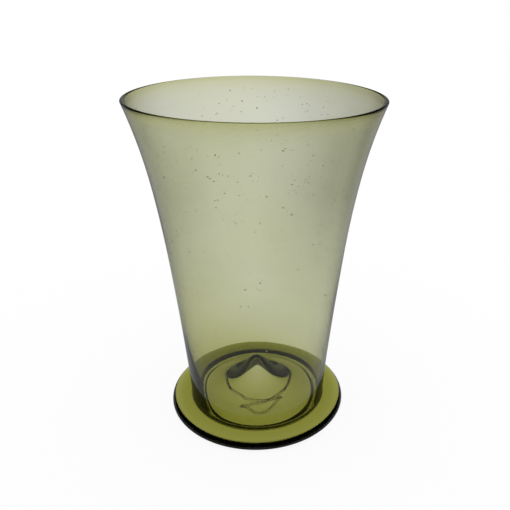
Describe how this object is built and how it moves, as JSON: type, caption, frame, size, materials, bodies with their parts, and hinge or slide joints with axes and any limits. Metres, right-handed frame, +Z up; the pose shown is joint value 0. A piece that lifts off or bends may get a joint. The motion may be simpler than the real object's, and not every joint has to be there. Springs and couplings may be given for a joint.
{
  "type": "beer glass",
  "caption": "Tall flared beer glass of thin olive blown glass, with a pushed-up base, a thick round-edged foot ring and a rough pontil scar under the floor.",
  "frame": {"origin": "centre of the foot ring's underside, on the table", "axes": "+Z up the axis of the glass, -Y towards the chip of the pontil scar"},
  "size_m": [0.12, 0.12, 0.1655],
  "materials": {
    "olive_glass": "clear olive glass, free-blown and fire-polished, with small seeds",
    "broken_glass": "the same olive glass, left rough where it was broken off the rod"
  },
  "bodies": {
    "root": {"bowl": "olive_glass", "foot_ring": "olive_glass", "pontil_scar": "broken_glass"}
  },
  "joints": []
}
